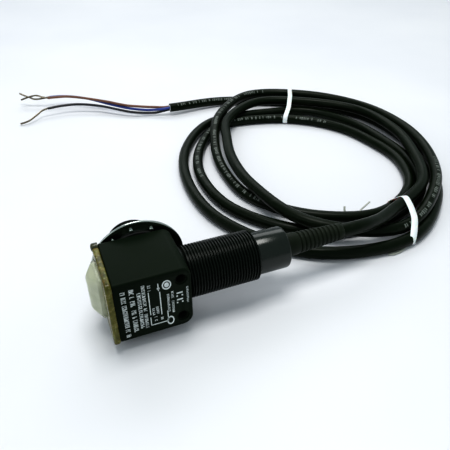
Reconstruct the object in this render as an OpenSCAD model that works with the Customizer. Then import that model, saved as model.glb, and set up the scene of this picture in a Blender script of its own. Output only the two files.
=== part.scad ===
// Right-angle photoelectric sensor: a box-shaped head with a threaded base barrel, a threaded nose,
// an indicator cap and a moulded cable, lying on its side with the cable coiled behind it.
// X runs along the base barrel towards the cable, Y along the light beam, Z up from the table.

/* [Head] */
// Length of the head along the base barrel
head_l = 24.4; // [23:0.2:30]
// Height of the head, across the two mounting holes
head_h = 24; // [23:0.5:30]
// Depth from the base barrel's axis to the back face
head_back = 11.5; // [11:0.5:14]
// Depth from the base barrel's axis to the front face
head_front = 10.7; // [10.5:0.1:14]
// Radius of the two head corners beside the base barrel
head_corner_r = 3.5; // [1:0.5:4]
// Wall thickness of the head
wall = 1.6; // [1.2:0.1:2]
// Distance from the barrel side of the head to the nose's axis
nose_inset = 11.5; // [11.3:0.1:12.4]

/* [Mounting holes] */
// Diameter of the two through holes
hole_d = 3.4; // [3:0.1:3.6]
// Distance between the two through holes
hole_spacing = 15.6; // [15:0.2:16.4]
// Distance from the barrel side of the head to the holes
hole_inset = 3.4; // [3:0.1:3.6]

/* [Threads] */
// Outer diameter of both threads
thread_d = 18; // [17.8:0.1:18]
// Pitch of both threads
pitch = 1; // [1:0.25:1.5]
// Depth of the thread grooves
thread_depth = 0.6; // [0.4:0.05:0.7]
// Length of the base barrel
barrel_l = 26; // [22:1:32]
// Length of the nose in front of the head
nose_l = 14; // [13:0.1:16]

/* [Clamp ring] */
// Diameter of the clamp ring on the nose
ring_d = 32.4; // [30:0.2:34]
// Thickness of the clamp ring
ring_t = 1.8; // [1.4:0.1:3]
// Thickness of the gasket behind the clamp ring
gasket_t = 0.8; // [0.6:0.1:1.5]
// Number of grip nubs on the clamp ring's back
nub_count = 12; // [6:1:16]

/* [Indicator cap] */
// Thickness of the amber frame
frame_t = 2; // [1.5:0.1:3]
// How far the amber frame stands proud of the head
frame_proud = 0.6; // [0.2:0.1:1]
// Height of the clear dome above the amber frame
dome_rise = 4; // [3:0.5:6]

/* [Cable end] */
// Diameter of the smooth end collar
collar_d = 15.2; // [14:0.2:16.4]
// Length of the smooth end collar
collar_l = 12; // [9:0.5:14]
// Length of the ribbed strain relief
relief_l = 24.4; // [20:0.2:30]
// Outer diameter of the cable
cable_d = 5.2; // [4.8:0.1:5.6]
// Outer diameter of each wire in the cable
wire_d = 1.5; // [1.2:0.1:1.6]

/* [Cable coil] */
// Height of the coiled cable above the table
coil_h = 11; // [10:0.5:12]
// Width of the cable ties
tie_w = 2.8; // [2:0.2:5]
// Thickness of the cable ties
tie_t = 0.8; // [0.6:0.1:1.2]

/* [Hidden] */

smooth = 64;
running_gap = 0.06;
seat_gap = 0.02;

// The row's origin is under the middle of the sensor's box, on the table.
relief_end = barrel_l + collar_l + relief_l;
dome_tip = -head_l - frame_t - dome_rise;
mid_x = (dome_tip + relief_end) / 2;
nose_tip = head_front + nose_l;
mid_y = (nose_tip - head_back - frame_proud) / 2;
axis_z = ring_d / 2;

thread_r = thread_d / 2;
nose_x = -nose_inset;
nose_bore_r = 7.4;
barrel_bore_r = 7;
spigot_r = 5.6;
spigot_bore_r = 4.8;
spigot_l = hole_inset + hole_d / 2 + 1.1;

// A thread groove: each point's share of the groove's depth, and its share of the pitch.
groove_shape = [[0, 0.55], [1, 0.75], [1, 0.8], [0, 1]];
relief_groove_w = 1.2;
relief_groove_d = 0.9;

cavity_x0 = -head_l;
cavity_x1 = -spigot_l;
cavity_y0 = wall - head_back;
cavity_y1 = head_front - wall;
cavity_z = head_h / 2 - wall;
flange_r = 9.1;
flange_t = 1.5;

window_t = 1.4;
window_seat = 0.8;
lens_z = 3.5;
lens_r = 2.9;
holder_y0 = 5.8;
holder_y1 = nose_tip - window_seat - window_t;
lens_y = holder_y1 - 3.4;
board_t = 1.2;
board_y = 2;
led_board_x = -head_l + 2.6;

gasket_r = 12.4;
nub_ring_r = 13.6;
nub_r = 0.7;
nub_h = 0.5;

frame_y0 = -head_back - frame_proud;
frame_y1 = 9.4;
frame_z = head_h / 2 + frame_proud;
dome_wall = 1;

relief_r0 = 4.4;
relief_r1 = 3.1;
relief_smooth_l = 5.5;
rib_count = 10;
rib_gap = 0.75;
cable_r = cable_d / 2;

// Routes of the free cable and its wires: x from the head's barrel side, y from the barrel's axis,
// z from the table.
lead_route = [
    [62.4, 0, 16.2], [65, 0, 16.2], [69, 0.2, 15.9], [74, 1.2, 15], [79, 3, 13.6], [84, 5.2, 12.1],
    [90, 8.2, 10.7]];
tail_route = [
    [96, 159, 2.6], [86, 163.3, 2.8], [76, 164.9, 3.2], [66, 164.8, 3.6], [57, 163.9, 4],
    [49, 163.2, 4.3], [45, 163.2, 4.4]];
brown_route = [
    [45, 164, 4.85], [41, 164.4, 4.9], [36, 166.8, 4.9], [31, 169.3, 4.9], [26, 172, 5],
    [21.2, 174.8, 5.1], [16.5, 178.8, 5.3], [12, 183.1, 5.6], [7, 187.3, 5.8], [2.5, 191, 6],
    [-5.9, 197.5, 6.2], [-13.1, 201.8, 6.2], [-18.6, 203.2, 6.1], [-23.8, 204, 6]];
blue_route = [
    [45, 162.4, 4.85], [41, 162.6, 4.6], [36, 164.8, 3.9], [32, 167, 3.5], [28, 169.5, 3.4],
    [23, 173.2, 3.4], [18.4, 177.1, 3.6], [11.9, 183.6, 4], [6.8, 189.7, 4.2], [2.8, 194, 4.5],
    [-1.3, 197.8, 4.8], [-8.5, 202.6, 5.2], [-16, 205.2, 5.6], [-22.2, 206.4, 5.6]];
black_route = [
    [45, 163.2, 3.5], [41, 163.3, 3], [36, 164.4, 2.2], [32, 165.6, 2.2], [27.1, 167.4, 2.4],
    [23.5, 168.8, 2.7], [19.9, 170.9, 3], [13.4, 176.2, 3.6], [6.8, 181.7, 4.2],
    [-1.6, 186.5, 4.8], [-8.8, 189.3, 5], [-17.9, 190.1, 5], [-25.6, 189.5, 4.8]];
brown_tip_l = 18;
blue_tip_l = 17.5;
black_tip_l = 19;

// The coil's outline: its centre, and its outer and inner radius every 45 degrees from the near side.
coil_x = 96;
coil_y = 80;
coil_outer = [84.5, 68, 64.5, 72, 79.5, 69.5, 72.5, 84.5];
coil_inner = [56.5, 46, 36.5, 38, 45, 43, 40, 51.5];
coil_steps = 6;
near_tie_angle = -84;
near_tie_turn = -14;
far_tie_angle = 74;
far_tie_turn = -16;

// Moves a sensor part from the head's own axes to the row's frame.
module place() {
    translate([-mid_x, -mid_y, axis_z])
        children();
}

// Moves a part that is described from the table up to the row's frame.
module on_table() {
    translate([-mid_x, -mid_y, 0])
        children();
}

// A cylinder along X from x0 to x1, on the base barrel's axis.
module rod_x(x0, x1, r, r2) {
    translate([x0, 0, 0])
        rotate([0, 90, 0])
            cylinder(h = x1 - x0, r1 = r, r2 = is_undef(r2) ? r : r2, $fn = smooth);
}

// A cylinder along Y from y0 to y1, at x and z.
module rod_y(y0, y1, r, x = 0, z = 0, r2) {
    translate([x, y0, z])
        rotate([-90, 0, 0])
            cylinder(h = y1 - y0, r1 = r, r2 = is_undef(r2) ? r : r2, $fn = smooth);
}

// A box given by its low and high corners.
module box(low, high) {
    translate(low)
        cube(high - low);
}

// An outline in X and Z, extruded along Y from y0 to y1.
module prism_y(y0, y1) {
    translate([0, y1, 0])
        rotate([90, 0, 0])
            linear_extrude(y1 - y0)
                children();
}

// A threaded tube standing on z = 0: annular grooves at the pitch, between two plain lands.
module threaded_tube(length, bore_r, land0, land1) {
    turns = floor((length - land0 - land1) / pitch);
    start = length - land1 - turns * pitch;
    grooves = [for (i = [0:turns - 1], g = groove_shape)
        [thread_r - g[0] * thread_depth, start + pitch * (i + g[1])]];
    profile = concat(
        [[bore_r, 0], [thread_r, 0]], grooves, [[thread_r, length], [bore_r, length]]);
    rotate_extrude($fn = smooth)
        polygon(profile);
}

// The value of a closed list of samples at a fractional place, on a smooth curve through them.
function wrap(v, i) = v[(i + 2 * len(v)) % len(v)];
function smooth_at(v, t) =
    let (i = floor(t), f = t - i, a = wrap(v, i - 1), b = wrap(v, i), c = wrap(v, i + 1), d = wrap(v, i + 2))
    b + f * ((c - a) / 2 + f * (a - 2.5 * b + 2 * c - d / 2 + f * (1.5 * (b - c) + (d - a) / 2)));

// The closed outline of the coil through a list of radii.
function coil_outline(radii) =
    [for (k = [0:len(radii) * coil_steps - 1])
        let (t = k / coil_steps, a = t * 360 / len(radii) - 90)
        [coil_x, coil_y] + smooth_at(radii, t) * [cos(a), sin(a)]];

// Rings of a round tube swept along a route, level with the table.
function unit(v) = v / norm(v);
function heading(route, i) =
    unit(route[min(i + 1, len(route) - 1)] - route[max(i - 1, 0)]);
function tube_ring(route, i, r, sides) =
    let (t = heading(route, i), across = unit(cross([0, 0, 1], t)), up = cross(t, across))
    [for (k = [0:sides - 1])
        route[i] + r * (cos(360 * k / sides) * across + sin(360 * k / sides) * up)];

module tube(route, d, sides) {
    rings = len(route);
    points = [for (i = [0:rings - 1], p = tube_ring(route, i, d / 2, sides)) p];
    sides_faces = [for (i = [0:rings - 2], k = [0:sides - 1])
        let (a = i * sides + k, b = i * sides + (k + 1) % sides)
        [a, b, b + sides, a + sides]];
    caps = [[for (k = [sides - 1:-1:0]) k], [for (k = [0:sides - 1]) (rings - 1) * sides + k]];
    polyhedron(points, concat(sides_faces, caps), convexity = 10);
}

// A straight round bar between two points.
module bar(from, to, r) {
    v = to - from;
    translate(from)
        rotate([0, acos(v[2] / norm(v)), atan2(v[1], v[0])])
            cylinder(h = norm(v), r = r, $fn = 24);
}

// The head's outline seen along Y: square at the cap end, rounded beside the base barrel.
module head_outline() {
    r = head_corner_r;
    translate([-head_l, -head_h / 2])
        square([head_l - r, head_h]);
    translate([-head_l, r - head_h / 2])
        square([head_l, head_h - 2 * r]);
    for (s = [-1, 1])
        translate([-r, s * (head_h / 2 - r)])
            circle(r, $fn = smooth);
}

module head_shell() {
    color("#242625")
        place()
            difference() {
                prism_y(-head_back, head_front)
                    head_outline();
                box([cavity_x0 - 1, cavity_y0, -cavity_z], [cavity_x1, cavity_y1, cavity_z]);
                rod_x(cavity_x1 - 1, 1, spigot_r + seat_gap);
                rod_y(0, head_front + 1, thread_r + seat_gap, nose_x);
                rod_y(cavity_y1 - flange_t, cavity_y1, flange_r + seat_gap, nose_x);
                for (s = [-1, 1])
                    rod_y(-head_back - 1, head_front + 1, hole_d / 2, -hole_inset, s * hole_spacing / 2);
            }
}

// The base barrel: threaded outside, with a spigot that plugs into the head.
module base_barrel() {
    color("#1b1d1c")
        place() {
            rotate([0, 90, 0])
                threaded_tube(barrel_l, barrel_bore_r, 1, 0.5);
            difference() {
                rod_x(-spigot_l, 1.5, spigot_r);
                rod_x(-spigot_l - 1, 2, spigot_bore_r);
            }
            difference() {
                rod_x(0, 1.5, thread_r - thread_depth - 0.4);
                rod_x(-1, 2, spigot_bore_r);
            }
        }
}

// The nose: threaded outside, held in the head's front wall by an inner flange.
module nose_barrel() {
    seat_y = cavity_y1 - flange_t;
    color("#1b1d1c")
        place() {
            translate([nose_x, head_front, 0])
                rotate([-90, 0, 0])
                    difference() {
                        threaded_tube(nose_l, nose_bore_r, 0.4, 1.2);
                        translate([0, 0, nose_l - window_seat - window_t])
                            cylinder(h = 5, r = nose_bore_r + 0.5, $fn = smooth);
                        relief_groove(gasket_t + ring_t + 0.1);
                    }
            difference() {
                union() {
                    rod_y(seat_y, cavity_y1, flange_r, nose_x);
                    rod_y(seat_y, head_front, thread_r, nose_x);
                }
                rod_y(seat_y - 1, head_front + 1, nose_bore_r, nose_x);
            }
        }
}

// A thread relief groove round a tube standing on z = 0.
module relief_groove(z) {
    translate([0, 0, z])
        difference() {
            cylinder(h = relief_groove_w, r = thread_r + 1, $fn = smooth);
            translate([0, 0, -1])
                cylinder(h = relief_groove_w + 2, r = thread_r - relief_groove_d, $fn = smooth);
        }
}

module ring_gasket() {
    color("#151515")
        place()
            difference() {
                rod_y(head_front, head_front + gasket_t, gasket_r, nose_x);
                rod_y(head_front - 1, head_front + gasket_t + 1, thread_r + running_gap, nose_x);
            }
}

// The clamp ring: a thin round nut on the nose's thread, with grip nubs on its back.
module clamp_ring() {
    y0 = head_front + gasket_t;
    color("#30343a")
        place()
            difference() {
                union() {
                    rod_y(y0, y0 + ring_t - 0.3, ring_d / 2, nose_x);
                    rod_y(y0 + ring_t - 0.3, y0 + ring_t, ring_d / 2, nose_x, 0, ring_d / 2 - 0.3);
                    for (k = [0:nub_count - 1])
                        rotate_about_nose(90 + k * 360 / nub_count)
                            rod_y(y0 - nub_h, y0 + 0.5, nub_r, nose_x + nub_ring_r);
                }
                rod_y(y0 - 1, y0 + ring_t + 1, thread_r + running_gap, nose_x);
            }
}

// Turns its children about the nose's axis.
module rotate_about_nose(angle) {
    translate([nose_x, 0, 0])
        rotate([0, -angle, 0])
            translate([-nose_x, 0, 0])
                children();
}

module front_window() {
    color("#5a1418")
        place()
            rod_y(nose_tip - window_seat - window_t, nose_tip - window_seat, nose_bore_r + 0.5, nose_x);
}

// The lens holder: a plug in the nose with a light channel for each beam.
module lens_holder() {
    color("#101010")
        place()
            difference() {
                rod_y(holder_y0, holder_y1, nose_bore_r, nose_x);
                for (s = [-1, 1]) {
                    rod_y(holder_y0 - 1, holder_y1 + 1, lens_r - 0.5, nose_x, s * lens_z);
                    rod_y(lens_y, holder_y1 + 1, lens_r, nose_x, s * lens_z);
                }
            }
}

// A lens with a flat back and a crowned front.
module lens(z) {
    crown_r = 5;
    color("#dfe6ea")
        place()
            intersection() {
                rod_y(lens_y, holder_y1, lens_r, nose_x, z);
                translate([nose_x, lens_y + 2.6 - crown_r, z])
                    sphere(crown_r, $fn = smooth);
            }
}

module emitter_lens() {
    lens(lens_z);
}

module receiver_lens() {
    lens(-lens_z);
}

module emitter_led() {
    color("#d9b3b3")
        place() {
            rod_y(board_y + board_t, holder_y0 - 0.6, 2, nose_x, lens_z);
            rod_y(holder_y0 - 0.6, holder_y0 + 1.4, 1.6, nose_x, lens_z, 0.9);
        }
}

module receiver_diode() {
    color("#26323a")
        place()
            box([nose_x - 2.3, board_y + board_t, -lens_z - 2.3], [nose_x + 2.3, holder_y0 - 0.4, -lens_z + 2.3]);
}

module main_board() {
    color("#1f6b3a")
        place()
            box([led_board_x + 1, board_y, 0.6 - cavity_z], [cavity_x1 - 0.6, board_y + board_t, cavity_z - 0.6]);
}

module control_chip() {
    color("#18181a")
        place()
            box([nose_x - 3.2, board_y - 1.5, -3.2], [nose_x + 3.2, board_y, 3.2]);
}

// Small parts on the back of the main board.
module board_parts() {
    color("#b7a27a")
        place()
            for (x = [-19, -8.6], z = [-7.5, -4, 4, 7.5])
                box([x - 0.8, board_y - 0.9, z - 0.6], [x + 0.8, board_y, z + 0.6]);
}

module led_board() {
    color("#1f6b3a")
        place()
            box([led_board_x, -8.5, -8.5], [led_board_x + 1, 6, 8.5]);
}

// The three indicator lamps under the dome.
module status_leds() {
    color("#d8d8b0")
        place()
            for (z = [-5, 0, 5])
                box([led_board_x - 1.6, 1.3, z - 0.8], [led_board_x, 3.3, z + 0.8]);
}

// The amber frame that closes the head and carries the dome.
module indicator_frame() {
    r = 1.6;
    color("#a8862c")
        place()
            difference() {
                translate([-head_l - frame_t, 0, 0])
                    rotate([90, 0, 90])
                        linear_extrude(frame_t) {
                            translate([frame_y0 + r, -frame_z])
                                square([frame_y1 - frame_y0 - 2 * r, 2 * frame_z]);
                            translate([frame_y0, r - frame_z])
                                square([frame_y1 - frame_y0, 2 * frame_z - 2 * r]);
                            for (y = [frame_y0 + r, frame_y1 - r], s = [-1, 1])
                                translate([y, s * (frame_z - r)])
                                    circle(r, $fn = smooth);
                        }
                box([-head_l - frame_t - 1, -2.6, -7.2], [-head_l + 1, 7.2, 7.2]);
            }
}

// A roof-shaped solid on the amber frame, smaller all round by inset.
module dome_solid(inset) {
    x0 = -head_l - frame_t;
    x1 = dome_tip + inset;
    intersection() {
        translate([0, 0, -20])
            linear_extrude(40)
                polygon([[x0, -3.6 + inset], [x1, 0.8 + inset / 2], [x1, 3.8 - inset / 2], [x0, 8.2 - inset]]);
        prism_y(-20, 20)
            polygon([[x0, inset - 8.2], [x1, inset / 2 - 6.4], [x1, 6.4 - inset / 2], [x0, 8.2 - inset]]);
    }
}

module indicator_dome() {
    color([0.93, 0.95, 0.9, 0.6])
        place()
            difference() {
                dome_solid(0);
                dome_solid(dome_wall);
            }
}

module cap_seal() {
    x0 = -head_l;
    color("#3a3a38")
        place()
            difference() {
                box([x0, cavity_y0, -cavity_z], [x0 + 0.9, cavity_y1, cavity_z]);
                box([x0 - 1, cavity_y0 + 1, 1 - cavity_z], [x0 + 2, 7.2, cavity_z - 1]);
            }
}

// Pins that join the main board to the power board in the barrel.
module board_pins() {
    color("#c8b464")
        place()
            for (z = [-2.4, -0.8, 0.8, 2.4])
                box([cavity_x1 - 1.2, board_y + board_t, z - 0.3], [2, board_y + board_t + 0.6, z + 0.3]);
}

module power_board() {
    color("#1f6b3a")
        place()
            box([1.8, board_y, -4.4], [21, board_y + board_t, 4.4]);
}

module output_chip() {
    color("#18181a")
        place()
            box([8, board_y - 1.6, -2.4], [14, board_y, 2.4]);
}

// The smooth collar that closes the base barrel.
module end_collar() {
    x0 = barrel_l;
    x1 = barrel_l + collar_l;
    edge = 1;
    color("#2a2d2c")
        place()
            difference() {
                union() {
                    rod_x(x0 - 3, x0, barrel_bore_r);
                    rod_x(x0, x1 - edge, collar_d / 2);
                    rod_x(x1 - edge, x1, collar_d / 2, collar_d / 2 - edge);
                }
                rod_x(x0 - 4, x1 + 1, cable_r + 0.05);
                rod_x(x0 - 4, x0 - 1, 4);
            }
}

// The ribbed strain relief: a tapered boot, cut by grooves.
module strain_relief() {
    x0 = barrel_l + collar_l;
    rib_pitch = (relief_l - relief_smooth_l - 1.5) / rib_count;
    color("#262928")
        place()
            difference() {
                rod_x(x0, relief_end, relief_r0, relief_r1);
                rod_x(x0 - 1, relief_end + 1, cable_r + 0.05);
                for (i = [0:rib_count - 1])
                    difference() {
                        x = x0 + relief_smooth_l + i * rib_pitch;
                        rod_x(x, x + rib_gap, relief_r0 + 1);
                        rod_x(x - 1, x + rib_gap + 1, cable_r + 0.35);
                    }
            }
}

module cable_clamp() {
    x0 = barrel_l - 2.8;
    color("#c4c6c8")
        place()
            difference() {
                rod_x(x0, x0 + 1.7, 3.7);
                rod_x(x0 - 1, x0 + 3, cable_r + 0.05);
            }
}

// The three wires between the cable's end and the power board.
module inner_leads() {
    color("#7a5a3a")
        place()
            for (z = [-1.5, 0, 1.5])
                rod_x_at(20, barrel_l - 3.4, 0.6, board_y - 0.6, z);
}

module rod_x_at(x0, x1, r, y, z) {
    translate([0, y, z])
        rod_x(x0, x1, r);
}

// The stretch of cable held in the collar and the strain relief.
module cable_entry() {
    color("#1d201f")
        place()
            rod_x(barrel_l - 3.4, relief_end, cable_r);
}

module cable_lead() {
    color("#1d201f")
        on_table()
            tube(lead_route, cable_d, 12);
}

// The outer shape of the coiled cable.
module cable_coil() {
    color("#1d201f")
        on_table()
            linear_extrude(coil_h)
                difference() {
                    polygon(coil_outline(coil_outer));
                    polygon(coil_outline(coil_inner));
                }
}

module cable_tail() {
    color("#1d201f")
        on_table()
            tube(tail_route, cable_d, 12);
}

// A flat tie looped round the coil at an angle seen from the coil's centre, turned square to the
// turns it holds.
module tie(angle, turn) {
    t = (angle + 90) * len(coil_outer) / 360;
    r0 = smooth_at(coil_inner, t) - tie_t;
    r1 = smooth_at(coil_outer, t) + tie_t;
    half = (r1 - r0) / 2;
    color("#e9e9e4")
        on_table()
            translate([coil_x, coil_y, 0])
                rotate([0, 0, angle])
                    translate([(r0 + r1) / 2, 0, 0])
                        rotate([0, 0, turn])
                            difference() {
                                box([-half, -tie_w / 2, 0], [half, tie_w / 2, coil_h + tie_t]);
                                box([tie_t - half, -tie_w, tie_t], [half - tie_t, tie_w, coil_h]);
                            }
}

module far_tie() {
    tie(far_tie_angle, far_tie_turn);
}

module near_tie() {
    tie(near_tie_angle, near_tie_turn);
}

module wire(route) {
    on_table()
        tube(route, wire_d, 8);
}

module brown_wire() {
    color("#6e3b22")
        wire(brown_route);
}

module blue_wire() {
    color("#2456b8")
        wire(blue_route);
}

module black_wire() {
    color("#1a1a1a")
        wire(black_route);
}

// The bare end of a wire: its tinned strands, straight out of the insulation.
module tip(route, length) {
    last = route[len(route) - 1];
    on_table()
        bar(last, last + length * heading(route, len(route) - 1), wire_d * 0.3);
}

module brown_tip() {
    color("#b9b4a6")
        tip(brown_route, brown_tip_l);
}

module blue_tip() {
    color("#b9b4a6")
        tip(blue_route, blue_tip_l);
}

module black_tip() {
    color("#b9b4a6")
        tip(black_route, black_tip_l);
}

head_shell();
base_barrel();
nose_barrel();
ring_gasket();
clamp_ring();
front_window();
lens_holder();
emitter_lens();
receiver_lens();
emitter_led();
receiver_diode();
main_board();
control_chip();
board_parts();
led_board();
status_leds();
indicator_frame();
indicator_dome();
cap_seal();
board_pins();
power_board();
output_chip();
end_collar();
strain_relief();
cable_clamp();
inner_leads();
cable_entry();
cable_lead();
cable_coil();
cable_tail();
far_tie();
near_tie();
brown_wire();
blue_wire();
black_wire();
brown_tip();
blue_tip();
black_tip();
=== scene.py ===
import math
import random

import bmesh
import bpy
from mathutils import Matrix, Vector


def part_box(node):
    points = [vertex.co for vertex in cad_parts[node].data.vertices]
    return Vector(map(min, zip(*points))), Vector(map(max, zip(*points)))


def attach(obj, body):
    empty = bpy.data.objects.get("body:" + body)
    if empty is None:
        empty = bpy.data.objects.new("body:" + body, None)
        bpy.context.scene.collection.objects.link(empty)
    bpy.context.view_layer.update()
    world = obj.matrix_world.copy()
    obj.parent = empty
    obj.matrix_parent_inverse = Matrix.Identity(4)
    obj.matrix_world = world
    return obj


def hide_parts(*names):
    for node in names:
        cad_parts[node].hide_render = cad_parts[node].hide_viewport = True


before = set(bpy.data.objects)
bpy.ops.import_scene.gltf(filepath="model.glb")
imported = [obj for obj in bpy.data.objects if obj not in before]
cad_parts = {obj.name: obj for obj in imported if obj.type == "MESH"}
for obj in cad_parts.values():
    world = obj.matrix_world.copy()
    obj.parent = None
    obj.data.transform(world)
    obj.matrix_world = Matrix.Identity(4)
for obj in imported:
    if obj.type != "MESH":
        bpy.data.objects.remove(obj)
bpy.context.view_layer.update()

# ---------------------------------------------------------------- places
# The sensor's own axes, in millimetres: x from the head's barrel side towards the cable,
# y from the base barrel's axis towards the nose, z from that axis.
MM = 0.001
_, head_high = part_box("head_shell")
barrel_low, barrel_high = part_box("base_barrel")
ORIGIN = Vector((head_high.x, (barrel_low.y + barrel_high.y) / 2, (barrel_low.z + barrel_high.z) / 2))
NOSE_X = -11.5
HEAD_L, HEAD_H = 24.4, 24.0
HEAD_BACK, HEAD_FRONT = -11.5, 10.7
BARREL_L, NOSE_TIP = 26.0, 24.7
THREAD_R, PITCH, THREAD_DEPTH = 9.0, 1.0, 0.62
RELIEF_X0, RELIEF_X1 = 38.0, 62.4
CABLE_D, WIRE_D = 5.2, 1.5
HEAD_SHARP = 30


def sensor(x, y, z):
    """A point in the sensor's own axes, in the row frame."""
    return ORIGIN + Vector((x, y, z)) * MM


def table(x, y, z):
    """A point whose height is from the table, in the row frame."""
    return Vector((ORIGIN.x + x * MM, ORIGIN.y + y * MM, z * MM))


# ---------------------------------------------------------------- materials
def nodes_of(name):
    mat = bpy.data.materials.new(name)
    mat.use_nodes = True
    tree = mat.node_tree
    return mat, tree, tree.nodes["Principled BSDF"], tree.nodes.new("ShaderNodeTexCoord")


def noise(tree, coords, scale, detail=3.0, rough=0.55, stretch=(1, 1, 1)):
    """A noise texture in the piece's own metres, stretched along an axis."""
    mapping = tree.nodes.new("ShaderNodeMapping")
    mapping.inputs["Scale"].default_value = stretch
    tree.links.new(coords.outputs["Object"], mapping.inputs["Vector"])
    tex = tree.nodes.new("ShaderNodeTexNoise")
    tex.inputs["Scale"].default_value = scale
    tex.inputs["Detail"].default_value = detail
    tex.inputs["Roughness"].default_value = rough
    tree.links.new(mapping.outputs["Vector"], tex.inputs["Vector"])
    return tex.outputs["Fac"]


def ramp(tree, fac, stops):
    node = tree.nodes.new("ShaderNodeValToRGB")
    while len(node.color_ramp.elements) < len(stops):
        node.color_ramp.elements.new(0.5)
    for element, (position, colour) in zip(node.color_ramp.elements, stops):
        element.position = position
        element.color = (*colour, 1.0)
    tree.links.new(fac, node.inputs["Fac"])
    return node.outputs["Color"]


def spread_to(tree, fac, low, high, from_low=0.3, from_high=0.7):
    node = tree.nodes.new("ShaderNodeMapRange")
    node.inputs["From Min"].default_value = from_low
    node.inputs["From Max"].default_value = from_high
    node.inputs["To Min"].default_value = low
    node.inputs["To Max"].default_value = high
    tree.links.new(fac, node.inputs["Value"])
    return node.outputs["Result"]


def mix(tree, fac, a, b):
    node = tree.nodes.new("ShaderNodeMix")
    node.data_type = "RGBA"
    tree.links.new(fac, node.inputs[0])
    for socket, value in ((node.inputs[6], a), (node.inputs[7], b)):
        if isinstance(value, tuple):
            socket.default_value = (*value, 1.0)
        else:
            tree.links.new(value, socket)
    return node.outputs[2]


def bump(tree, height, distance, strength=1.0, normal=None):
    node = tree.nodes.new("ShaderNodeBump")
    node.inputs["Strength"].default_value = strength
    node.inputs["Distance"].default_value = distance
    tree.links.new(height, node.inputs["Height"])
    if normal is not None:
        tree.links.new(normal, node.inputs["Normal"])
    return node.outputs["Normal"]


def finish_material(name, dark, light, rough=(0.3, 0.45), patch=90, grain=2600, grain_mm=0.012,
                    dent_mm=0.02, dent_scale=260, edge_wear_and_highlight=None, stretch=(1, 1, 1), **sockets):
    """A moulded or metal finish: patchy colour, fine grain, soft dents, and convex edges lightened: partly
    wear, partly painted highlight.
    """
    mat, tree, shader, coords = nodes_of(name)
    broad = noise(tree, coords, patch, 4.0, 0.6, stretch)
    fine = noise(tree, coords, grain, 2.0, 0.6, stretch)
    dents = noise(tree, coords, dent_scale, 2.0, 0.5, stretch)
    colour = ramp(tree, broad, [(0.3, dark), (0.7, light)])
    # Convex edges and crests are mixed towards a pale colour: partly wear, partly a painted highlight
    # standing in for light on rounded edges.
    if edge_wear_and_highlight:
        geometry = tree.nodes.new("ShaderNodeNewGeometry")
        edge = spread_to(tree, geometry.outputs["Pointiness"], 0.0, 0.55, 0.515, 0.6)
        colour = mix(tree, edge, colour, edge_wear_and_highlight)
    tree.links.new(colour, shader.inputs["Base Color"])
    tree.links.new(spread_to(tree, broad, *rough), shader.inputs["Roughness"])
    soft = bump(tree, dents, dent_mm * MM)
    tree.links.new(bump(tree, fine, grain_mm * MM, 1.0, soft), shader.inputs["Normal"])
    for key, value in sockets.items():
        shader.inputs[key.replace("_", " ")].default_value = value
    return mat


def scratch_lines(mat, colour, scale=900, share=0.03, stretch=(1, 0.06, 1)):
    """Fine pale hairlines over a finish."""
    tree = mat.node_tree
    shader = tree.nodes["Principled BSDF"]
    coords = next(n for n in tree.nodes if n.type == "TEX_COORD")
    hair = noise(tree, coords, scale, 1.0, 0.4, stretch)
    fac = spread_to(tree, hair, 0.0, share, 0.62, 0.7)
    link = shader.inputs["Base Color"].links[0]
    tree.links.new(mix(tree, fac, link.from_socket, colour), shader.inputs["Base Color"])


# The pale edge colours below are painted highlight on rounded edges and crests, strongest on the housing,
# with some wear on the thread, collar and boot.
HOUSING = finish_material(
    "housing_plastic", (0.0026, 0.0080, 0.0024), (0.0048, 0.0112, 0.0042), (0.42, 0.56), 70, 3200,
    0.016, 0.03, 190, edge_wear_and_highlight=(0.07, 0.08, 0.065), Specular_IOR_Level=0.08)
THREAD = finish_material(
    "thread_plastic", (0.0030, 0.0060, 0.0036), (0.0056, 0.0092, 0.0060), (0.24, 0.36), 120, 3000,
    0.006, 0.01, 400, edge_wear_and_highlight=(0.012, 0.018, 0.013), Specular_IOR_Level=0.22)
COLLAR = finish_material(
    "collar_plastic", (0.0034, 0.0080, 0.0044), (0.0060, 0.0115, 0.0068), (0.15, 0.23), 110, 2600,
    0.008, 0.02, 220, edge_wear_and_highlight=(0.02, 0.028, 0.022), Specular_IOR_Level=0.55)
BOOT = finish_material(
    "boot_rubber", (0.0095, 0.0140, 0.0075), (0.0150, 0.0205, 0.0120), (0.36, 0.5), 140, 2400,
    0.014, 0.03, 300, edge_wear_and_highlight=(0.035, 0.042, 0.032), Specular_IOR_Level=0.14)
JACKET = finish_material(
    "cable_jacket", (0.0028, 0.0074, 0.0018), (0.0062, 0.0115, 0.0042), (0.28, 0.4), 60, 2200,
    0.014, 0.06, 150, Specular_IOR_Level=0.15)
scratch_lines(JACKET, (0.05, 0.055, 0.045), 500, 0.1, (0.3, 0.3, 1))
RING = finish_material(
    "ring_plated", (0.42, 0.46, 0.43), (0.55, 0.59, 0.55), (0.1, 0.2), 80, 1800,
    0.004, 0.02, 120, Metallic=1.0)
GASKET = finish_material(
    "gasket_rubber", (0.006, 0.006, 0.006), (0.012, 0.012, 0.011), (0.6, 0.75), 150, 2600, 0.02)
PRINT = finish_material(
    "label_print", (0.5, 0.55, 0.54), (0.78, 0.82, 0.81), (0.5, 0.65), 500, 5000, 0.004)
CABLE_PRINT = finish_material(
    "cable_print", (0.06, 0.07, 0.06), (0.17, 0.19, 0.17), (0.5, 0.65), 600, 5000, 0.004)
TIE = finish_material(
    "tie_nylon", (0.76, 0.77, 0.75), (0.87, 0.88, 0.87), (0.35, 0.5), 300, 2600, 0.01,
    Subsurface_Weight=0.15, Subsurface_Scale=0.002)
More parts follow.
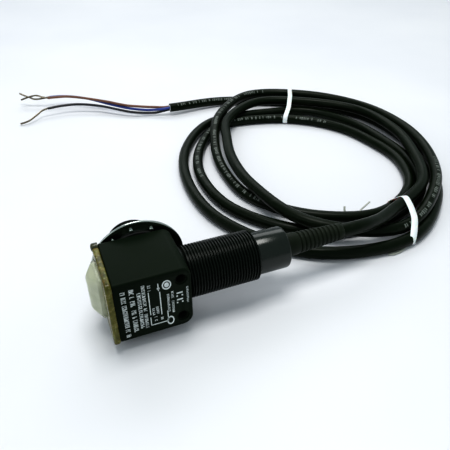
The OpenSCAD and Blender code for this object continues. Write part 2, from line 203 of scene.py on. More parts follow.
# The tie's loose tails get a darker grey copy of the nylon: painted shade.
TIE_ENDS_SHADED = finish_material(
    "tie_nylon_ends_shaded", (0.3, 0.31, 0.27), (0.46, 0.47, 0.42), (0.35, 0.5), 300, 2600, 0.01)
BROWN = finish_material(
    "brown_insulation", (0.13, 0.055, 0.032), (0.21, 0.1, 0.062), (0.3, 0.42), 200, 3000, 0.006)
BLUE = finish_material(
    "blue_insulation", (0.014, 0.032, 0.19), (0.026, 0.06, 0.3), (0.28, 0.4), 200, 3000, 0.006)
BLACK = finish_material(
    "black_insulation", (0.005, 0.005, 0.008), (0.011, 0.011, 0.015), (0.3, 0.42), 200, 3000, 0.006)
TINNED = finish_material(
    "tinned_strands", (0.16, 0.13, 0.09), (0.34, 0.31, 0.25), (0.28, 0.42), 700, 3000, 0.006, Metallic=1.0)
FILLER = finish_material(
    "cable_filler", (0.3, 0.32, 0.33), (0.5, 0.52, 0.52), (0.7, 0.85), 900, 4000, 0.03)
BOARD = finish_material(
    "board_laminate", (0.008, 0.07, 0.025), (0.015, 0.11, 0.04), (0.25, 0.4), 400, 3000, 0.01)
CHIP = finish_material(
    "chip_epoxy", (0.008, 0.008, 0.009), (0.016, 0.016, 0.018), (0.5, 0.62), 300, 3400, 0.012)
PARTS = finish_material(
    "ceramic_parts", (0.3, 0.23, 0.12), (0.5, 0.4, 0.24), (0.35, 0.5), 600, 3400, 0.008)
PINS = finish_material(
    "plated_pins", (0.5, 0.36, 0.12), (0.68, 0.52, 0.22), (0.2, 0.32), 500, 2400, 0.004, Metallic=1.0)
CLAMP = finish_material(
    "clamp_metal", (0.42, 0.42, 0.43), (0.58, 0.58, 0.6), (0.26, 0.38), 300, 2400, 0.006, Metallic=1.0)
LEADS = finish_material(
    "lead_insulation", (0.05, 0.03, 0.02), (0.12, 0.07, 0.04), (0.35, 0.5), 500, 2600, 0.006)
HOLDER = finish_material(
    "holder_plastic", (0.004, 0.004, 0.005), (0.009, 0.009, 0.01), (0.5, 0.65), 200, 2600, 0.012)
LAMP = finish_material(
    "lamp_resin", (0.5, 0.48, 0.3), (0.72, 0.7, 0.5), (0.15, 0.28), 400, 2600, 0.004)
CREAM = finish_material(
    "dome_reflector", (0.72, 0.74, 0.56), (0.9, 0.9, 0.75), (0.4, 0.55), 260, 2400, 0.02)


def clear(name, tint, rough, transmission, grain_mm=0.01):
    """A clear or stained moulding: faint haze, flow marks and tiny pits."""
    mat, tree, shader, coords = nodes_of(name)
    flow = noise(tree, coords, 140, 3.0, 0.6, (1, 1, 0.4))
    pits = noise(tree, coords, 2400, 2.0, 0.5)
    low = tuple(c * 0.94 for c in tint)
    tree.links.new(ramp(tree, flow, [(0.3, low), (0.7, tint)]), shader.inputs["Base Color"])
    tree.links.new(spread_to(tree, flow, rough * 0.6, rough * 1.5), shader.inputs["Roughness"])
    tree.links.new(bump(tree, pits, grain_mm * MM, 0.6), shader.inputs["Normal"])
    shader.inputs["Transmission Weight"].default_value = transmission
    shader.inputs["IOR"].default_value = 1.49
    return mat


DOME = clear("dome_clear", (0.9, 0.93, 0.82), 0.08, 0.88)
LENS = clear("lens_clear", (0.94, 0.97, 0.97), 0.03, 0.95, 0.002)
WINDOW = clear("window_red", (0.42, 0.02, 0.04), 0.05, 0.8, 0.003)


def amber_material():
    """Mottled amber moulding: pale streaks, olive body and brown stains."""
    mat, tree, shader, coords = nodes_of("amber_moulding")
    broad = noise(tree, coords, 190, 4.0, 0.65)
    stains = noise(tree, coords, 420, 3.0, 0.6, (1, 1, 0.5))
    streak = noise(tree, coords, 300, 2.0, 0.5, (3, 3, 0.35))
    body = ramp(tree, broad, [
        (0.32, (0.026, 0.028, 0.004)), (0.5, (0.1, 0.095, 0.016)), (0.66, (0.19, 0.165, 0.035))])
    body = mix(tree, spread_to(tree, stains, 0.0, 0.75, 0.56, 0.68), body, (0.13, 0.062, 0.014))
    body = mix(tree, spread_to(tree, streak, 0.0, 0.6, 0.6, 0.72), body, (0.33, 0.33, 0.14))
    tree.links.new(body, shader.inputs["Base Color"])
    tree.links.new(spread_to(tree, broad, 0.16, 0.34), shader.inputs["Roughness"])
    lumps = bump(tree, stains, 0.05 * MM)
    tree.links.new(lumps, shader.inputs["Normal"])
    shader.inputs["Specular IOR Level"].default_value = 0.3
    shader.inputs["Subsurface Weight"].default_value = 0.08
    shader.inputs["Subsurface Scale"].default_value = 0.0012
    return mat


AMBER = amber_material()
BEAD = finish_material(
    "bead_stained", (0.02, 0.026, 0.01), (0.06, 0.062, 0.024), (0.2, 0.34), 500, 2600, 0.01)


# ---------------------------------------------------------------- shapes
class Shape:
    """Points in the row frame and faces, gathered from rings and turned into one piece."""

    def __init__(self):
        self.points = []
        self.faces = []

    def rings(self, rings, loop=False, start_cap=False, end_cap=False):
        """Skins closed rings of equal length, one after another."""
        n, base, count = len(rings[0]), len(self.points), len(rings)
        for ring in rings:
            self.points.extend(ring)
        for i in range(count if loop else count - 1):
            for k in range(n):
                a, b = base + i * n, base + ((i + 1) % count) * n
                m = (k + 1) % n
                self.faces.append((a + k, a + m, b + m, b + k))
        if start_cap:
            self.faces.append(tuple(base + k for k in reversed(range(n))))
        if end_cap:
            self.faces.append(tuple(base + (count - 1) * n + k for k in range(n)))

    def lathe(self, profile, spot, segments=96, loop=False, start_cap=False, end_cap=False):
        """Turns (place along the axis, radius) pairs; spot(s, r, angle) gives the point."""
        self.rings([[spot(s, r, 2 * math.pi * k / segments) for k in range(segments)]
                    for s, r in profile], loop, start_cap, end_cap)

    def solid(self, name):
        """The shape as an object whose faces look outwards, and no piece yet."""
        mesh = bpy.data.meshes.new(name)
        mesh.from_pydata([tuple(p) for p in self.points], [], self.faces)
        bm = bmesh.new()
        bm.from_mesh(mesh)
        bmesh.ops.recalc_face_normals(bm, faces=bm.faces)
        bm.to_mesh(mesh)
        bm.free()
        return place(name, mesh)

    def piece(self, name, material, body="root", stands_for=(), sharp=38):
        obj = self.solid(name)
        shade(obj.data, sharp)
        obj.data.materials.append(material)
        return seat(obj, body, stands_for)


def place(name, data):
    """A new object in the scene."""
    obj = bpy.data.objects.new(name, data)
    bpy.context.scene.collection.objects.link(obj)
    return obj


def shade(mesh, sharp):
    """Smooth shading, with edges over the angle kept sharp."""
    mesh.polygons.foreach_set("use_smooth", [True] * len(mesh.polygons))
    mesh.set_sharp_from_angle(angle=math.radians(sharp))


def seat(obj, body, stands_for=()):
    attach(obj, body)
    if stands_for:
        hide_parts(*stands_for)
    return obj


def about_x(y=0.0, z=0.0):
    """Spots round an axis along the base barrel."""
    return lambda s, r, a: sensor(s, y + r * math.sin(a), z + r * math.cos(a))


def about_y(x=NOSE_X, z=0.0):
    """Spots round an axis along the nose."""
    return lambda s, r, a: sensor(x + r * math.sin(a), s, z + r * math.cos(a))


def rounded(x0, x1, z0, z1, r, steps=8, radii=None):
    """A rectangle's outline with rounded corners: one radius, or one for each corner."""
    corners = [(x1, z1, 0), (x0, z1, 90), (x0, z0, 180), (x1, z0, 270)]
    out = []
    for i, (x, z, turn) in enumerate(corners):
        rr = max(1e-4, radii[i] if radii else r)
        cx = x - math.copysign(rr, x - (x0 + x1) / 2)
        cz = z - math.copysign(rr, z - (z0 + z1) / 2)
        for k in range(steps + 1):
            a = math.radians(turn + 90 * k / steps)
            out.append((cx + rr * math.cos(a), cz + rr * math.sin(a)))
    return out


def arc(s0, r0, s1, r1, bulge, steps=6):
    """Points on a quarter-round from one profile point to the next; bulge says which moves first."""
    out = []
    for k in range(steps + 1):
        t = math.pi / 2 * k / steps
        a, b = (1 - math.cos(t), math.sin(t)) if bulge == "r" else (math.sin(t), 1 - math.cos(t))
        out.append((s0 + (s1 - s0) * a, r0 + (r1 - r0) * b))
    return out


def cut(obj, cutter):
    """Takes one mesh away from another, for good."""
    modifier = obj.modifiers.new("cut", "BOOLEAN")
    modifier.operation = "DIFFERENCE"
    modifier.solver = "EXACT"
    modifier.object = cutter
    bpy.context.view_layer.update()
    shown = obj.evaluated_get(bpy.context.evaluated_depsgraph_get())
    mesh = bpy.data.meshes.new_from_object(shown)
    obj.modifiers.clear()
    obj.data = mesh
    bpy.data.objects.remove(cutter)
    shade(mesh, HEAD_SHARP)


# ---------------------------------------------------------------- the head
def build_head():
    """The box head with softened edges, drilled through twice beside the barrel."""
    edge, steps, corner_r, small_r = 0.75, 6, 3.5, 0.5
    turn = [(edge * (1 - math.cos(math.pi / 2 * k / steps)), edge * (1 - math.sin(math.pi / 2 * k / steps)))
            for k in range(steps + 1)]
    stack = [(HEAD_BACK + step, inset) for step, inset in turn]
    stack += [(HEAD_FRONT - step, inset) for step, inset in reversed(turn)]
    head = Shape()
    rings = []
    for y, inset in stack:
        low, high = -HEAD_H / 2 + inset, HEAD_H / 2 - inset
        radii = [corner_r - inset, small_r, small_r, corner_r - inset]
        rings.append([sensor(x, y, z) for x, z in
                      rounded(-HEAD_L, -inset, low, high, 0, 10, radii)])
    head.rings(rings, start_cap=True, end_cap=True)
    obj = head.piece("head_housing", HOUSING, "root", ["head_shell"], HEAD_SHARP)
    hole_x, hole_z, r, lip = -3.4, 7.8, 1.7, 0.35
    for z in (hole_z, -hole_z):
        drill = Shape()
        profile = [(HEAD_BACK - 1, r + lip + 1), (HEAD_BACK, r + lip)]
        profile += arc(HEAD_BACK, r + lip, HEAD_BACK + lip, r, "s", 4)[1:]
        profile += [(HEAD_FRONT - lip, r), (HEAD_FRONT, r + lip), (HEAD_FRONT + 1, r + lip + 1)]
        drill.lathe(profile, about_y(hole_x, z), 40, start_cap=True, end_cap=True)
        cut(obj, drill.solid("drill"))
    return obj


def build_label():
    """Worn white print on the back face: rows of broken strokes, plain bars and round marks."""
    rng = random.Random(7)
    marks = Shape()
    y = HEAD_BACK - 0.012

    def patch(x0, z0, x1, z1):
        base = len(marks.points)
        skew = rng.uniform(-0.05, 0.05)
        marks.points.extend([sensor(x0, y, z0 + skew), sensor(x1, y, z0 - skew),
                             sensor(x1, y, z1), sensor(x0, y, z1)])
        marks.faces.append((base, base + 1, base + 2, base + 3))

    def row(x, width, z_top, z_bottom, gap=0.16, long=(0.42, 0.75)):
        """A row of small broken strokes that follows no letter."""
        z = z_top
        while z > z_bottom:
            step = rng.uniform(*long)
            low = max(z - step, z_bottom)
            if rng.random() < 0.9:
                cuts = sorted(rng.uniform(-0.5, 0.5) for _ in range(2))
                if rng.random() < 0.6:
                    patch(x - width / 2, z, x + cuts[0] * width, low)
                    patch(x + cuts[1] * width, z, x + width / 2, low)
                    patch(x - width / 2, z, x + width / 2, z - step * 0.4)
                else:
                    patch(x - width / 2, z, x + width / 2, z - step * 0.45)
                    patch(x - width / 2, z - step * 0.6, x + cuts[1] * width, low)
            z -= step + gap

    def disc(x, z, rx, rz, inner=0.0, segments=28):
        base = len(marks.points)
        for share in (1.0, inner) if inner else (1.0,):
            for k in range(segments):
                a = 2 * math.pi * k / segments
                marks.points.append(sensor(x + rx * share * math.cos(a), y, z + rz * share * math.sin(a)))
        if inner:
            for k in range(segments):
                m = (k + 1) % segments
                marks.faces.append((base + k, base + m, base + segments + m, base + segments + k))
        else:
            marks.faces.append(tuple(base + k for k in range(segments)))

    row(-21.6, 1.5, 8.7, -10.7)
    row(-19.0, 1.5, 9.0, -9.9)
    row(-16.9, 1.2, 6.8, -8.4, 0.2, (0.35, 0.8))
    row(-15.4, 1.1, 9.3, -8.6, 0.2, (0.3, 0.7))
    row(-13.6, 1.0, 9.3, 6.6, 0.2, (0.3, 0.7))
    patch(-14.1, 6.0, -13.8, -3.6)
    patch(-10.6, 5.2, -10.25, -4.6)
    patch(-11.2, 6.9, -10.3, 6.3)
    patch(-10.9, 8.6, -10.6, 5.6)
    for x0, z0, x1, z1 in ((-14.2, -7.9, -8.3, -8.3), (-14.2, -4.6, -13.9, -8.2), (-8.6, -3.6, -8.3, -8.2)):
        patch(x0, z0, x1, z1)
    row(-12.9, 0.8, -1.0, -3.8, 0.2, (0.4, 0.8))
    row(-11.6, 0.9, -0.7, -3.8, 0.2, (0.4, 0.8))
    row(-12.4, 0.9, -4.8, -6.9, 0.2, (0.4, 0.8))
    row(-10.4, 0.9, -4.9, -6.8, 0.2, (0.4, 0.8))
    disc(-8.1, 7.2, 1.5, 1.9, 0.72)
    disc(-8.1, 7.2, 0.75, 1.0)
    disc(-7.7, -8.2, 1.2, 1.9, 0.66)
    row(-7.9, 0.8, 3.4, -4.4, 0.16, (0.25, 0.6))
    row(-6.5, 0.8, 4.0, -5.2, 0.16, (0.25, 0.6))
    for z in (2.6, -0.2):
        patch(-5.2, z + 0.3, -3.2, z - 0.3)
        patch(-5.3, z - 0.9, -4.8, z - 1.5)
        patch(-3.6, z - 0.9, -3.1, z - 1.5)
    row(-1.6, 0.7, 4.4, -2.4, 0.18, (0.25, 0.6))
    return marks.piece("label_marks", PRINT, "root")


def thread_radius(turn):
    """The radius at a share of the pitch: a rounded crest, a straight flank and a narrow root."""
    t = abs((turn % 1.0) - 0.5) * 2
    depth = min(1.0, max(0.0, (t - 0.3) / 0.55))
    depth = depth * depth * (3 - 2 * depth)
    return THREAD_R - THREAD_DEPTH * depth


def threaded(spot, s0, s1, chamfer0=0.5, chamfer1=0.7, per_pitch=9):
    """A helical outside thread from s0 to s1, run out at both ends. Gives its rings."""
    count = int((s1 - s0) * per_pitch / PITCH)
    rings = []
    for i in range(count + 1):
        s = s0 + (s1 - s0) * i / count
        ring = []
        for k in range(THREAD_SIDES):
            r = thread_radius(s / PITCH - k / THREAD_SIDES)
            floor = THREAD_R - THREAD_DEPTH
            if chamfer0 and s - s0 < chamfer0:
                r = min(r, floor - 0.15 + (s - s0) / chamfer0 * (THREAD_DEPTH + 0.15))
            if chamfer1 and s1 - s < chamfer1:
                r = min(r, floor - 0.15 + (s1 - s) / chamfer1 * (THREAD_DEPTH + 0.15))
            ring.append(spot(s, r, 2 * math.pi * k / THREAD_SIDES))
        rings.append(ring)
    return rings


THREAD_SIDES = 112


def ring_maker(spot):
    """Plain rings with as many points as a thread's."""
    return lambda s, r: [spot(s, r, 2 * math.pi * k / THREAD_SIDES) for k in range(THREAD_SIDES)]


def build_barrel():
    spot = about_x()
    ring = ring_maker(spot)
    barrel = Shape()
    rings = [ring(-0.4, 8.9), ring(0.0, 8.95), ring(0.25, 8.95), ring(0.55, 8.8), ring(0.7, 8.4)]
    rings += threaded(spot, 0.95, BARREL_L, 0.3, 0.7)
    rings += [ring(BARREL_L, 7.2), ring(BARREL_L - 6, 7.0), ring(-0.4, 7.0)]
    barrel.rings(rings, loop=True)
    return barrel.piece("base_thread", THREAD, "root", ["base_barrel"], 50)


def build_nose():
    spot = about_y()
    ring = ring_maker(spot)
    nose = Shape()
    relief = THREAD_R - 0.9
    rings = [ring(HEAD_FRONT - 0.6, relief), ring(HEAD_FRONT, relief)]
    rings += threaded(spot, HEAD_FRONT + 0.02, 13.4, 0, 0.3)
    rings += [ring(13.5, relief + 0.04), ring(13.65, relief), ring(14.4, relief), ring(14.55, relief + 0.04)]
    rings += threaded(spot, 14.6, NOSE_TIP, 0.3, 0.8)
    rings += [ring(NOSE_TIP, 8.1), ring(NOSE_TIP - 0.15, 7.95), ring(NOSE_TIP - 0.8, 7.9),
              ring(NOSE_TIP - 2.2, 7.9), ring(NOSE_TIP - 2.2, 7.45), ring(HEAD_FRONT - 0.6, 7.45)]
    nose.rings(rings, loop=True)
    return nose.piece("nose_thread", THREAD, "root", ["nose_barrel"], 50)


def build_ring():
    """The plated clamp ring: a thin lip that falls away in front, a dished back and twelve domed nubs."""
    y0, y1, rim = HEAD_FRONT + 0.8, HEAD_FRONT + 2.6, 16.2
    disc = Shape()
    profile = [(y0 + 0.1, 9.1), (y0, 9.25), (y0, 12.2), (y0 + 0.12, 12.5), (y0 + 0.12, 14.4), (y0, 14.7)]
    profile += arc(y0, rim - 0.35, y0 + 0.35, rim, "r", 5)
    profile += [(y0 + 0.6, rim - 0.03), (y0 + 1.0, rim - 0.35),
                (y1 - 0.3, rim - 1.15), (y1 - 0.08, rim - 1.5)]
    profile += [(y1, 11.6), (y1 - 0.25, 11.3), (y1 - 0.25, 9.6), (y1 - 0.45, 9.1)]
    disc.lathe(profile, about_y(), 160, loop=True)
    nubs, nub_circle, first_nub = 12, 13.2, 96
    for k in range(nubs):
        a = math.radians(first_nub + 360 / nubs * k)
        x, z = NOSE_X + nub_circle * math.cos(a), nub_circle * math.sin(a)
        dome = [(y0 + 0.3, 0.7), (y0 - 0.15, 0.7)]
        dome += [(y0 - 0.15 - 0.33 * math.sin(math.radians(t)), 0.7 * math.cos(math.radians(t)))
                 for t in (18, 36, 54, 72, 84)]
        disc.lathe(dome, about_y(x, z), 20, start_cap=True, end_cap=True)
    return disc.piece("clamp_ring_plated", RING, "ring", ["clamp_ring"], 45)


def build_gasket():
    y0, y1 = HEAD_FRONT + 0.03, HEAD_FRONT + 0.8
    seal = Shape()
    profile = [(y0, 9.1), (y0, 12.1)] + arc(y0, 12.1, y0 + 0.3, 12.4, "r", 4)
    profile += arc(y1 - 0.3, 12.4, y1, 12.1, "s", 4) + [(y1, 9.1)]
    seal.lathe(profile, about_y(), 96, loop=True)
    return seal.piece("gasket_seal", GASKET, "gasket", ["ring_gasket"])


# ---------------------------------------------------------------- the indicator cap
FRAME_X0, FRAME_X1 = -HEAD_L - 2.0, -HEAD_L
FRAME_Y0, FRAME_Y1, FRAME_Z = HEAD_BACK - 0.6, 9.4, 12.6
DOME_WALL, DOME_RISE = 1.0, 4.0
DOME_Y0, DOME_Y1, DOME_Z = -3.6, 8.2, 8.2


def yz_ring(x, inset, r, steps=6):
    """A rounded rectangle across the barrel's axis, at the amber frame's outline less an inset."""
    return [sensor(x, y, z) for y, z in
            rounded(FRAME_Y0 + inset, FRAME_Y1 - inset, -FRAME_Z + inset, FRAME_Z - inset,
                    max(0.1, r - inset), steps)]


def build_frame():
    """The amber frame: a soft-edged rim with a window, and a stained bead at its far top corner."""
    soft = 0.55
    rings = []
    for k in range(6):
        t = math.pi / 2 * k / 5
        rings.append(yz_ring(FRAME_X1 - soft * (1 - math.cos(t)), soft * (1 - math.sin(t)), 1.7))
    for k in range(5, -1, -1):
        t = math.pi / 2 * k / 5
        rings.append(yz_ring(FRAME_X0 + soft * (1 - math.cos(t)), soft * (1 - math.sin(t)), 1.7))
    window = ((FRAME_X0 + 0.01, 0.35), (FRAME_X0 + 0.3, 0.1), (FRAME_X0 + 0.4, -0.9), (FRAME_X1, -1.0))
    for x, grow in window:
        rings.append([sensor(x, y, z) for y, z in
                      rounded(DOME_Y0 - grow, DOME_Y1 + grow, -DOME_Z - grow, DOME_Z + grow, 1.4, 6)])
    frame_shape = Shape()
    frame_shape.rings(rings, loop=True)
    bead = Shape()
    profile = [(FRAME_X0 + 1.9, 1.45)]
    profile += [(FRAME_X0 + 0.3 - 0.75 * math.sin(math.radians(t)), 1.45 * math.cos(math.radians(t)))
                for t in (0, 18, 36, 54, 72, 85)]
    bead.lathe(profile, about_x(8.8, 12.0), 28, start_cap=True, end_cap=True)
    bead.piece("amber_bead", BEAD, "root")
    return frame_shape.piece("amber_frame", AMBER, "root", ["indicator_frame"])


def dome_ring(height, inset):
    """The dome's half-outline at a height over the frame: a short wall, then slopes to a ridge along Z."""
    share = max(0.0, (height - DOME_WALL) / (DOME_RISE - DOME_WALL))
    y0 = DOME_Y0 + 4.2 * share + inset
    y1 = DOME_Y1 - 4.2 * share - inset
    z1 = DOME_Z - 1.7 * share - inset
    return FRAME_X0 - height, y0, y1, z1


def build_dome(name, material, inset, height, base, stands_for):
    """A roof-shaped moulding with softly rounded edges; its height is a share of the dome's."""
    shape = Shape()
    rings = []
    ease_from, ease = 3.3, 0.7
    levels = [base, 0.25, 0.6, 0.85, 1.1, 1.4, 1.9, 2.5, 3.1, 3.5, 3.75, 3.9, 3.98, DOME_RISE]
    for level in levels:
        at = level * height if level > 0 else level
        x, y0, y1, z1 = dome_ring(at, inset)
        into = max(0.0, (level - ease_from) / ease)
        soft = 0.8 * max(0.0, 1 - math.sqrt(max(0.0, 1 - into ** 2)))
        r = 1.5 + 0.35 * max(0.0, level) / DOME_RISE
        r = min(r, (y1 - y0) / 2 - soft - 0.02)
        rings.append([sensor(x, y, z) for y, z in
                      rounded(y0 + soft, y1 - soft, -z1 + soft, z1 - soft, r, 7)])
    shape.rings(rings, start_cap=True, end_cap=True)
    return shape.piece(name, material, "root", stands_for, 50)


# ---------------------------------------------------------------- the cable end
def build_collar():
    collar = Shape()
    x0, x1, r = BARREL_L, BARREL_L + 12.0, 7.6
    profile = [(x0 - 0.2, 3.0), (x0 - 0.2, 7.0), (x0, 7.3)] + arc(x0, 7.35, x0 + 0.25, r, "r", 3)
    profile += arc(x1 - 1.0, r, x1, r - 1.0, "s", 8)
    profile += [(x1, 4.9), (x1 - 0.3, 4.6), (x1 - 0.3, 3.0)]
    collar.lathe(profile, about_x(), 112, loop=True)
    return collar.piece("end_collar_moulding", COLLAR, "root", ["end_collar"])


def relief_r(x):
    return 4.4 + (3.1 - 4.4) * (x - RELIEF_X0) / (RELIEF_X1 - RELIEF_X0)


def build_relief():
    """The strain relief: a plain shoulder, then soft ribs that shrink towards the cable."""
    boot = Shape()
    profile = [(RELIEF_X0 - 0.4, 2.55), (RELIEF_X0 - 0.4, 4.5), (RELIEF_X0 + 0.1, 4.4)]
    x, ribs = RELIEF_X0 + 5.5, 10
    profile += [(RELIEF_X0 + 2.5, relief_r(RELIEF_X0 + 2.5)), (x - 0.3, relief_r(x - 0.3))]
    step = 17.4 / ribs
    for k in range(ribs):
        groove = x + k * step
        deep = relief_r(groove) - 0.6
        rib0, rib1 = groove + 0.75, x + (k + 1) * step
        profile += [(groove, relief_r(groove) - 0.08), (groove + 0.16, deep + 0.08),
                    (groove + 0.56, deep + 0.08), (rib0, relief_r(rib0) - 0.1),
                    (rib0 + 0.25, relief_r(rib0)), (rib1 - 0.2, relief_r(rib1))]
    profile += [(RELIEF_X1 - 0.3, relief_r(RELIEF_X1)), (RELIEF_X1, relief_r(RELIEF_X1) - 0.3),
                (RELIEF_X1, 2.55)]
    boot.lathe(profile, about_x(), 72, loop=True)
    return boot.piece("relief_boot", BOOT, "root", ["strain_relief"], 45)


# ---------------------------------------------------------------- the cable
# Each turn of the coil: the radius from the coil's centre every 30 degrees, from the near side
# round anticlockwise, and the height above the table.
COIL_X, COIL_Y = 96.0, 80.0
FLAT, UPPER = 2.6, 8.0
TURN_RADII = [
    [72, 60, 52.5, 53.5, 58, 59, 63.5, 54, 43.5, 43.5, 51.5, 70],
    [75.5, 66, 60, 60.5, 65, 70.5, 76, 60.5, 50, 48, 53, 57],
    [60, 54.5, 46.5, 40, 40, 43, 49, 59, 58, 60.5, 66, 69],
    [66, 60, 52, 46.5, 50, 57, 58, 66, 65.5, 68, 76, 83],
    [80.5, 68, 60, 59, 64, 69, 79]]
TURN_HEIGHTS = [
    [UPPER] * 12,
    [5.5, 7.6] + [UPPER] * 6 + [4.6] + [FLAT] * 3,
    [FLAT] * 12,
    [FLAT] * 12,
    [FLAT] * 7]
LEAD = [(62.4, 0, 16.2), (65, 0, 16.2), (69, 0.2, 15.9), (74, 1.2, 15), (79, 3, 13.6), (84, 5.2, 12.1),
        (90, 8.2, 10.7), (97, 12, 9.5)]
TAIL = [(86, 163.3, 2.8), (76, 164.9, 3.2), (66, 164.8, 3.6), (57, 163.9, 4), (49, 163.2, 4.3),
        (45, 163.2, 4.4)]
BROWN_ROUTE = [
    (45, 164, 4.85), (41, 164.4, 4.9), (36, 166.8, 4.9), (31, 169.3, 4.9), (26, 172, 5),
    (21.2, 174.8, 5.1), (16.5, 178.8, 5.3), (12, 183.1, 5.6), (7, 187.3, 5.8), (2.5, 191, 6),
    (-5.9, 197.5, 6.2), (-13.1, 201.8, 6.2), (-18.6, 203.2, 6.1), (-23.8, 204, 6)]
BLUE_ROUTE = [
    (45, 162.4, 4.85), (41, 162.6, 4.6), (36, 164.8, 3.9), (32, 167, 3.5), (28, 169.5, 3.4),
    (23, 173.2, 3.4), (18.4, 177.1, 3.6), (11.9, 183.6, 4), (6.8, 189.7, 4.2), (2.8, 194, 4.5),
    (-1.3, 197.8, 4.8), (-8.5, 202.6, 5.2), (-16, 205.2, 5.6), (-22.2, 206.4, 5.6)]
BLACK_ROUTE = [
    (45, 163.2, 3.5), (41, 163.3, 3), (36, 164.4, 2.2), (32, 165.6, 2.2), (27.1, 167.4, 2.4),
    (23.5, 168.8, 2.7), (19.9, 170.9, 3), (13.4, 176.2, 3.6), (6.8, 181.7, 4.2),
    (-1.6, 186.5, 4.8), (-8.8, 189.3, 5), (-17.9, 190.1, 5), (-25.6, 189.5, 4.8)]


def coil_knots():
    """The cable's route: the lead, the turns, which follow on after their first place, and the tail."""
    knots = [table(*p) for p in LEAD]
    step = 0
    for radii, heights in zip(TURN_RADII, TURN_HEIGHTS):
        for r, z in zip(radii, heights):
            a = math.radians(-90 + 30 * step)
            if step:
                knots.append(table(COIL_X + r * math.cos(a), COIL_Y + r * math.sin(a), z))
            step += 1
    return knots + [table(*p) for p in TAIL]


STEPS = 8


def smooth_line(knots, steps=STEPS):
    """A centripetal curve through the knots."""
    p = [2 * knots[0] - knots[1]] + list(knots) + [2 * knots[-1] - knots[-2]]
    out = []
    for a, b, c, d in zip(p, p[1:], p[2:], p[3:]):
        t0 = 0.0
        t1 = t0 + math.sqrt((b - a).length)
        t2 = t1 + math.sqrt((c - b).length)
        t3 = t2 + math.sqrt((d - c).length)
        for k in range(steps):
            t = t1 + (t2 - t1) * k / steps
            e = a * ((t1 - t) / (t1 - t0)) + b * ((t - t0) / (t1 - t0))
            f = b * ((t2 - t) / (t2 - t1)) + c * ((t - t1) / (t2 - t1))
            g = c * ((t3 - t) / (t3 - t2)) + d * ((t - t2) / (t3 - t2))
            h = e * ((t2 - t) / (t2 - t0)) + f * ((t - t0) / (t2 - t0))
            i = f * ((t3 - t) / (t3 - t1)) + g * ((t - t1) / (t3 - t1))
            out.append(h * ((t2 - t) / (t2 - t1)) + i * ((t - t1) / (t2 - t1)))
    out.append(knots[-1].copy())
    return out


def distances(line):
    """How far along the line each point is."""
    along = [0.0]
    for a, b in zip(line, line[1:]):
        along.append(along[-1] + (b - a).length)
    return along


def length_of(line):
    return sum((b - a).length for a, b in zip(line, line[1:]))


def curve_piece(name, line, diameter, material, stands_for):
    curve = bpy.data.curves.new(name, "CURVE")
    curve.dimensions = "3D"
    curve.bevel_depth = diameter / 2
    curve.bevel_resolution = 6
    curve.use_fill_caps = True
    spline = curve.splines.new("POLY")
    spline.points.add(len(line) - 1)
    for point, spot in zip(spline.points, line):
        point.co = (*spot, 1.0)
    spline.use_smooth = True
    curve.materials.append(material)
    return seat(place(name, curve), "root", stands_for)


def frames_along(line):
    """The heading at each point of a line."""
    out = []
    for i in range(len(line)):
        ahead, behind = line[min(i + 1, len(line) - 1)], line[max(i - 1, 0)]
        out.append((ahead - behind).normalized())
    return out


PRINT_SIDE = Vector((-0.28, -0.62, 0.73))


def build_cable_print(line, runs):
    """Worn print along the jacket: plain dashes in a row, a hair above the surface, that spell nothing."""
    rng = random.Random(11)
    marks = Shape()
    along = distances(line)
    heads = frames_along(line)

    def spot(s, angle, r):
        i = max(j for j in range(len(along)) if along[j] <= s) if s < along[-1] else len(along) - 2
        i = min(i, len(line) - 2)
        f = (s - along[i]) / max(1e-9, along[i + 1] - along[i])
        centre = line[i].lerp(line[i + 1], f)
        head = heads[i].lerp(heads[i + 1], f).normalized()
        up = (PRINT_SIDE - head * PRINT_SIDE.dot(head)).normalized()
        side = head.cross(up)
        return centre + (up * math.cos(angle) + side * math.sin(angle)) * r

    radius = CABLE_D / 2 * MM + 0.00003
    for start, end in runs:
        s = start
        while s < end:
            wide = rng.uniform(0.4, 1.1) * MM
            tall = rng.uniform(0.24, 0.36)
            shift = rng.uniform(-0.05, 0.05)
            if rng.random() < 0.8:
                base = len(marks.points)
                for k in range(4):
                    angle = shift + tall * (k / 1.5 - 1)
                    marks.points.extend([spot(s, angle, radius), spot(s + wide, angle, radius)])
                for k in range(3):
                    marks.faces.append((base + 2 * k, base + 2 * k + 1, base + 2 * k + 3, base + 2 * k + 2))
            s += wide + rng.choice((0.35, 0.4, 0.45, 1.6)) * MM
    return marks.piece("cable_marks", CABLE_PRINT, "root")


def strands(name, start, heading, ends, stands_for):
    """The bare end of a wire: seven fine strands, twisted and a little splayed, along a line."""
    line = smooth_line([start - heading * 0.4 * MM, start] + ends, 10)
    heads = frames_along(line)
    rope = Shape()
    total = len(line) - 1
    for strand in range(7):
        phase = strand * math.pi / 3
        rings = []
        for i, (centre, head) in enumerate(zip(line, heads)):
            up = (Vector((0, 0, 1)) - head * head.z).normalized()
            side = head.cross(up)
            lay = 0.0 if strand == 6 else 0.36 * MM * (1 + 0.25 * math.sin(i * 0.6 + strand))
            turn = phase + i * 0.42
            middle = centre + (up * math.cos(turn) + side * math.sin(turn)) * lay
            middle.z = max(middle.z, 0.24 * MM)
            r = 0.19 * MM * (1.0 if i < total - 1 else 0.6)
            rings.append([middle + (up * math.cos(a) + side * math.sin(a)) * r
                          for a in [2 * math.pi * k / 7 for k in range(7)]])
        rope.rings(rings, start_cap=True, end_cap=True)
    return rope.piece(name, TINNED, "root", stands_for)


